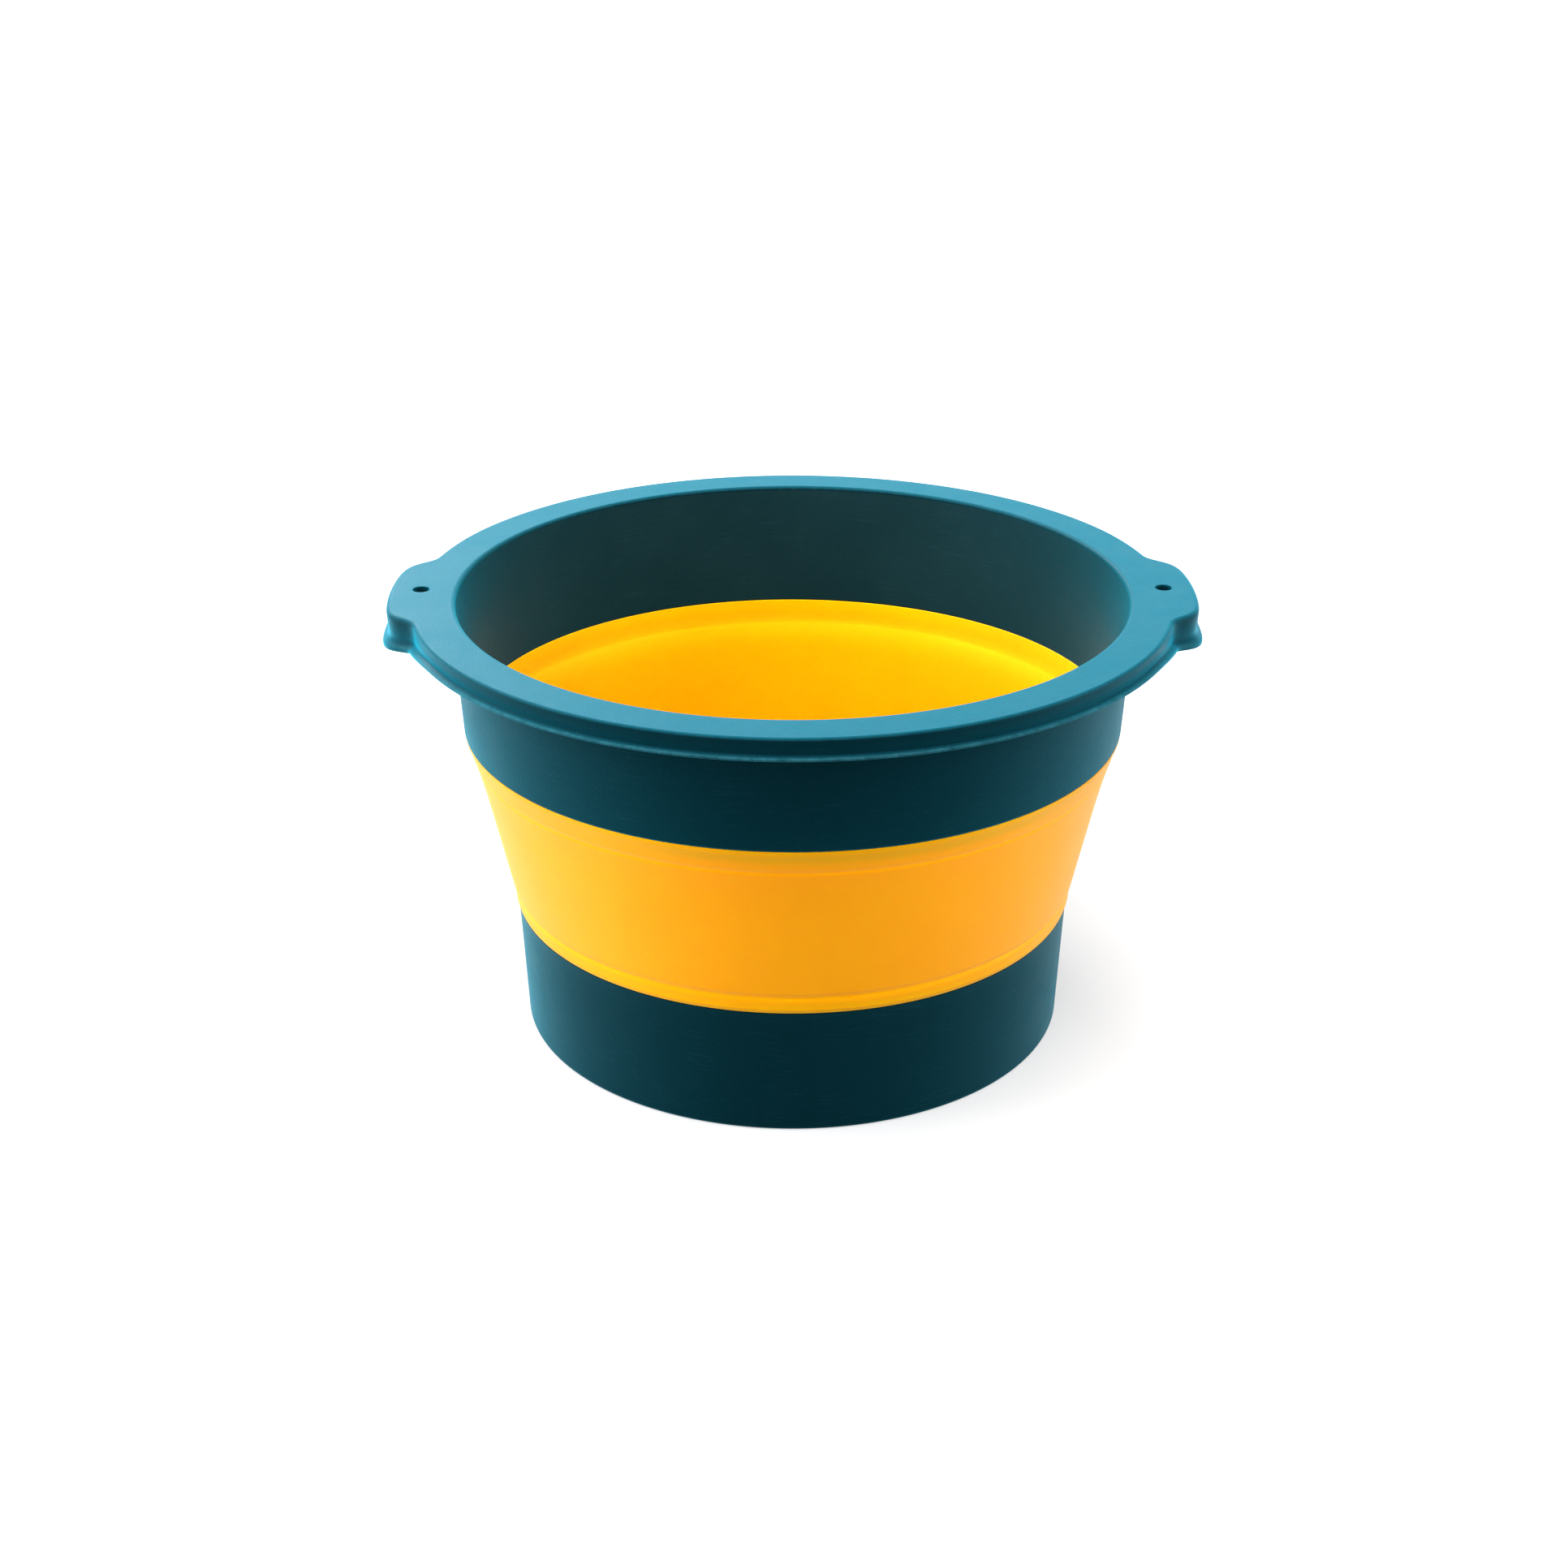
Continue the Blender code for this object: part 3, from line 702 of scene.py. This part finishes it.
def teal_plastic(name, deep, plain, sheen, top_sheen):
    """Satin moulded plastic: grain, faint flow marks, rubbed edges and hairline rubs.

    Its colour is painted lighter on the rim's top face, as a painted highlight, and its sheen goes
    over to top_sheen up there.
    """
    made, tree, shader = new_material(name)
    place, drawn, z, edge = places(tree)
    cloud = spread(tree, noise(tree, place, *TEAL_CLOUD), *CLOUD_RANGE)
    grain = noise(tree, place, *TEAL_GRAIN)
    swell = noise(tree, place, *TEAL_SWELL)
    rub = spread(tree, noise(tree, drawn, *TEAL_RUB), *TEAL_RUB_RANGE)
    patch = spread(tree, noise(tree, place, *TEAL_PATCH), *PATCH_RANGE)
    fretted = spread(tree, noise(tree, place, *TEAL_FRET), *FRET_RANGE)
    # Edge wear, partly a painted highlight on the mouth, lip and top edges
    wear_and_highlight = math_node(tree, "MINIMUM", times(tree, edge, fretted), WEAR_AND_HIGHLIGHT_MOST)
    # Painted light: the rim's top face is mixed towards a lighter teal, broken up by the mottle
    painted_top_mask = spread(tree, z, RIM_TOP_Z - OUTER_ROUND / 2, RIM_TOP_Z - SMALL_ROUND / 4)
    mottle = spread(tree, noise(tree, place, *TEAL_MOTTLE), *MOTTLE_RANGE)
    rubbed = times(tree, times(tree, rub, patch), TEAL_RUB_SHARE)
    colour = mixed(tree, cloud, deep, plain)
    colour = mixed(tree, times(tree, painted_top_mask, mottle), colour, TEAL_PAINTED_TOP_LIGHT)
    colour = mixed(tree, times(tree, grain, TEAL_GRAIN_SHARE), colour, TEAL_WEAR_AND_HIGHLIGHT)
    colour = mixed(tree, rubbed, colour, TEAL_WEAR_AND_HIGHLIGHT)
    colour = mixed(tree, times(tree, wear_and_highlight, WEAR_AND_HIGHLIGHT_SHARE), colour, TEAL_WEAR_AND_HIGHLIGHT)
    rough = plus(tree, spread(tree, grain, *TEAL_ROUGHNESS),
                 times(tree, plus(tree, rubbed, wear_and_highlight), WORN_ROUGHNESS))
    rough = plus(tree, rough, spread(tree, patch, *PATCH_ROUGHNESS))
    normal = bump(tree, swell, *TEAL_SWELL_BUMP)
    normal = bump(tree, noise(tree, place, *TEAL_PITS), *TEAL_PIT_BUMP, normal)
    normal = bump(tree, grain, *TEAL_GRAIN_BUMP, normal)
    normal = bump(tree, rub, *TEAL_RUB_BUMP, normal)
    weight = spread(tree, z, RIM_TOP_Z - SKIRT_DEPTH, RIM_TOP_Z - OUTER_ROUND, sheen, top_sheen)
    fill(tree, shader, {"Base Color": colour, "Roughness": rough, "Normal": normal,
                        "Specular IOR Level": 0.04, "Specular Tint": TEAL_GLOSS_TINT,
                        "Sheen Weight": weight, "Sheen Roughness": 0.47,
                        "Sheen Tint": TEAL_SHEEN_TINT})
    return made


def yellow_rubber():
    """Soft satin elastomer: light goes a little way in, and its hinges are paler from bending and
    painted with a highlight.
    """
    made, tree, shader = new_material("soft_yellow_satin")
    place, drawn, _, edge = places(tree)
    cloud = spread(tree, noise(tree, place, *YELLOW_CLOUD), *CLOUD_RANGE)
    grain = noise(tree, place, *YELLOW_GRAIN)
    swell = noise(tree, place, *YELLOW_SWELL)
    rub = spread(tree, noise(tree, drawn, *YELLOW_RUB), *YELLOW_RUB_RANGE)
    # Hinge lines and inner ledge: paler from bending, and painted with a highlight
    bent_and_highlit = times(tree, edge, spread(tree, noise(tree, drawn, *YELLOW_BEND_AND_HIGHLIGHT), *BEND_AND_HIGHLIGHT_RANGE))
    colour = mixed(tree, cloud, YELLOW_DEEP, YELLOW)
    colour = mixed(tree, times(tree, rub, YELLOW_RUB_SHARE), colour, YELLOW_PALE_AND_HIGHLIGHT)
    colour = mixed(tree, times(tree, bent_and_highlit, BENT_AND_HIGHLIGHT_SHARE), colour, YELLOW_PALE_AND_HIGHLIGHT)
    rough = plus(tree, spread(tree, grain, *YELLOW_ROUGHNESS), times(tree, rub, RUB_ROUGHNESS))
    normal = bump(tree, swell, *YELLOW_SWELL_BUMP)
    normal = bump(tree, noise(tree, place, *YELLOW_PITS), *YELLOW_PIT_BUMP, normal)
    normal = bump(tree, grain, *YELLOW_GRAIN_BUMP, normal)
    fill(tree, shader, {"Base Color": colour, "Roughness": rough, "Normal": normal,
                        "Specular IOR Level": 0.60, "Specular Tint": YELLOW_GLOSS_TINT,
                        "Sheen Weight": 0.06, "Sheen Roughness": 0.35,
                        "Sheen Tint": YELLOW_SHEEN_TINT, "Subsurface Weight": 0.55,
                        "Subsurface Radius": (1.0, 0.45, 0.10), "Subsurface Scale": 0.0018})
    return made


# Studio
FLOOR_HALF = 15.0
GLOW_RANGE = (0.12, 0.75, 0.55, 1.0)       # distances from the middle, and the floor's glow there
GLOW_COLOUR = (0.99, 0.995, 1.0, 1.0)
SHADOWED_COLOUR = (0.300, 0.304, 0.307, 1.0)   # the share of the floor's white that takes shadow
FLOOR_LIGHT = (0.26, 0.26, 0.26, 1.0)      # what the floor throws back on the object
WHITE = (1.0, 1.0, 1.0, 1.0)
WORLD_COLOUR = (0.95, 0.98, 1.0, 1.0)
WORLD_LIGHT = 0.27

# Lamps: place, width, height and watts
LAMPS = {
    "top_lamp": ((0.05, -0.40, 1.45), 1.00, 0.90, 34.0),
    "upper_left_lamp": ((-0.60, 0.10, 1.35), 0.80, 0.80, 15.0),
    "left_lamp": ((-1.15, -0.20, 0.52), 0.80, 0.90, 17.5),
    "right_lamp": ((1.15, -0.20, 0.40), 0.50, 0.80, 9.0),
    "front_lamp": ((-0.20, -1.30, 0.70), 0.80, 0.60, 3.5),
    "back_lamp": ((-0.20, 1.50, 0.90), 1.60, 0.80, 7.0),
    "back_left_lamp": ((-0.80, 1.15, 1.00), 1.20, 0.80, 27.0),
}


def white_to_the_eye(tree, seen, lit):
    """Shows one shader to the camera and in reflections, and lets another one light the object."""
    path = node(tree, "ShaderNodeLightPath", {})
    shown = math_node(tree, "MAXIMUM", path.outputs["Is Camera Ray"], path.outputs["Is Glossy Ray"])
    shown = math_node(tree, "MAXIMUM", shown, path.outputs["Is Transmission Ray"])
    return node(tree, "ShaderNodeMixShader", {0: shown, 1: lit, 2: seen}).outputs["Shader"]


def studio_floor():
    """A plain pale floor: white to the eye, with the object's soft shadow."""
    mesh_data = bmesh.new()
    mesh_data.faces.new([mesh_data.verts.new((x * FLOOR_HALF, y * FLOOR_HALF, 0.0))
                         for x, y in ((-1, -1), (1, -1), (1, 1), (-1, 1))])
    floor = finished_object("studio_floor", mesh_data)
    made, tree, shader = new_material("pale_floor")
    tree.nodes.remove(shader)
    out = tree.nodes["Material Output"]
    place = node(tree, "ShaderNodeTexCoord", {}).outputs["Object"]
    away = node(tree, "ShaderNodeVectorMath", {0: place}, operation="LENGTH").outputs["Value"]
    strength = spread(tree, away, *GLOW_RANGE)
    glow = node(tree, "ShaderNodeEmission", {"Color": GLOW_COLOUR, "Strength": strength})
    shade = node(tree, "ShaderNodeBsdfDiffuse", {"Color": SHADOWED_COLOUR})
    seen = node(tree, "ShaderNodeAddShader", {0: glow.outputs[0], 1: shade.outputs[0]})
    dim = node(tree, "ShaderNodeBsdfDiffuse", {"Color": FLOOR_LIGHT})
    shown = white_to_the_eye(tree, seen.outputs[0], dim.outputs[0])
    fill(tree, out, {"Surface": shown})
    floor.data.materials.append(made)


def studio_world():
    """White round the object to the eye and in reflections, and an even grey light from it."""
    world = bpy.data.worlds.new("studio_world")
    world.use_nodes = True
    tree = world.node_tree
    out = tree.nodes["World Output"]
    tree.nodes.remove(tree.nodes["Background"])
    seen = node(tree, "ShaderNodeBackground", {"Color": WHITE, "Strength": 1.0})
    lit = node(tree, "ShaderNodeBackground", {"Color": WORLD_COLOUR, "Strength": WORLD_LIGHT})
    fill(tree, out, {"Surface": white_to_the_eye(tree, seen.outputs[0], lit.outputs[0])})
    bpy.context.scene.world = world


def softbox(name, place, target, width, height, watts):
    """A rectangular lamp that faces a target."""
    lamp = bpy.data.lights.new(name, "AREA")
    lamp.shape = "RECTANGLE"
    lamp.size = width
    lamp.size_y = height
    lamp.energy = watts
    made = bpy.data.objects.new(name, lamp)
    bpy.context.scene.collection.objects.link(made)
    made.location = place
    away = made.location - Vector(target)
    made.rotation_euler = away.to_track_quat("Z", "Y").to_euler()


def studio_lamps():
    """Soft lamps overhead, on each side and behind, those on the left stronger."""
    middle = (0.0, 0.0, 0.5 * RIM_TOP_Z)
    for name, (place, width, height, watts) in LAMPS.items():
        softbox(name, place, middle, width, height, watts)


def photo_camera():
    """The camera where the photograph was taken from."""
    data = bpy.data.cameras.new("photo_camera")
    data.sensor_width = SENSOR_MM
    data.lens = SENSOR_MM * FOCAL_PIXELS / PHOTO_PIXELS
    data.shift_y = (AXIS_ROW_PIXELS - PHOTO_PIXELS / 2) / PHOTO_PIXELS
    data.clip_start = NEAREST_SEEN
    camera = bpy.data.objects.new("photo_camera", data)
    bpy.context.scene.collection.objects.link(camera)
    elevation = math.radians(CAMERA_ELEVATION_DEGREES)
    round_z = math.radians(CAMERA_ROUND_DEGREES)
    away = CAMERA_DISTANCE * math.cos(elevation)
    camera.location = (away * math.sin(round_z), -away * math.cos(round_z),
                       MOUTH_Z + CAMERA_DISTANCE * math.sin(elevation))
    tilt = math.radians(90.0 - CAMERA_ELEVATION_DEGREES - CAMERA_DIP_DEGREES)
    camera.rotation_euler = (tilt, 0.0, round_z + math.radians(CAMERA_TURN_DEGREES))
    bpy.context.scene.camera = camera


def dressed(piece, material, nodes):
    """Gives a piece its material and hides the imported parts that it stands for."""
    piece.data.materials.clear()
    piece.data.materials.append(material)
    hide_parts(*nodes)


def smoother_painted_inside(piece, material, outer_radius, low, high):
    """Gives the faces of a shell's inner side, between two heights, their own material: a smoother
    teal, painted lighter and greyer for the light reflected in there.
    """
    piece.data.materials.append(material)
    for face in piece.data.polygons:
        x, y, z = face.center
        if low < z < high and math.hypot(x, y) < outer_radius(z) - WALL / 2:
            face.material_index = 1


teal = teal_plastic("stiff_teal_satin", TEAL_DEEP, TEAL, CUP_SHEEN, CUP_SHEEN)
teal_rim = teal_plastic("stiff_teal_rim", TEAL_DEEP, TEAL, BAND_SHEEN, TOP_SHEEN)
# Its lighter, greyer colour is painted reflected light inside the bucket
teal_inside_painted = teal_plastic("stiff_teal_inside_painted_light", TEAL_INSIDE_PAINTED_LIGHT_DEEP, TEAL_INSIDE_PAINTED_LIGHT, INSIDE_SHEEN,
                           INSIDE_SHEEN)
yellow = yellow_rubber()
base = base_shell()
dressed(base, teal, ["base_cup"])
smoother_painted_inside(base, teal_inside_painted, cup_radius, FOOT_RECESS + FLOOR_WALL / 2, LOWER_SEAM_Z)
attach(base, "base")
rim = rim_shell()
dressed(rim, teal_rim, ["rim_frame"])
smoother_painted_inside(rim, teal_inside_painted, band_radius, UPPER_SEAM_Z, RIM_TOP_Z - MOUTH_ROUND)
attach(rim, "rim")
wall = soft_wall()
dressed(wall, yellow, ["lower_collar", "fold_panel", "upper_collar"])
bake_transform(wall)

studio_floor()
studio_world()
studio_lamps()
photo_camera()
bpy.context.scene.view_settings.view_transform = "Standard"
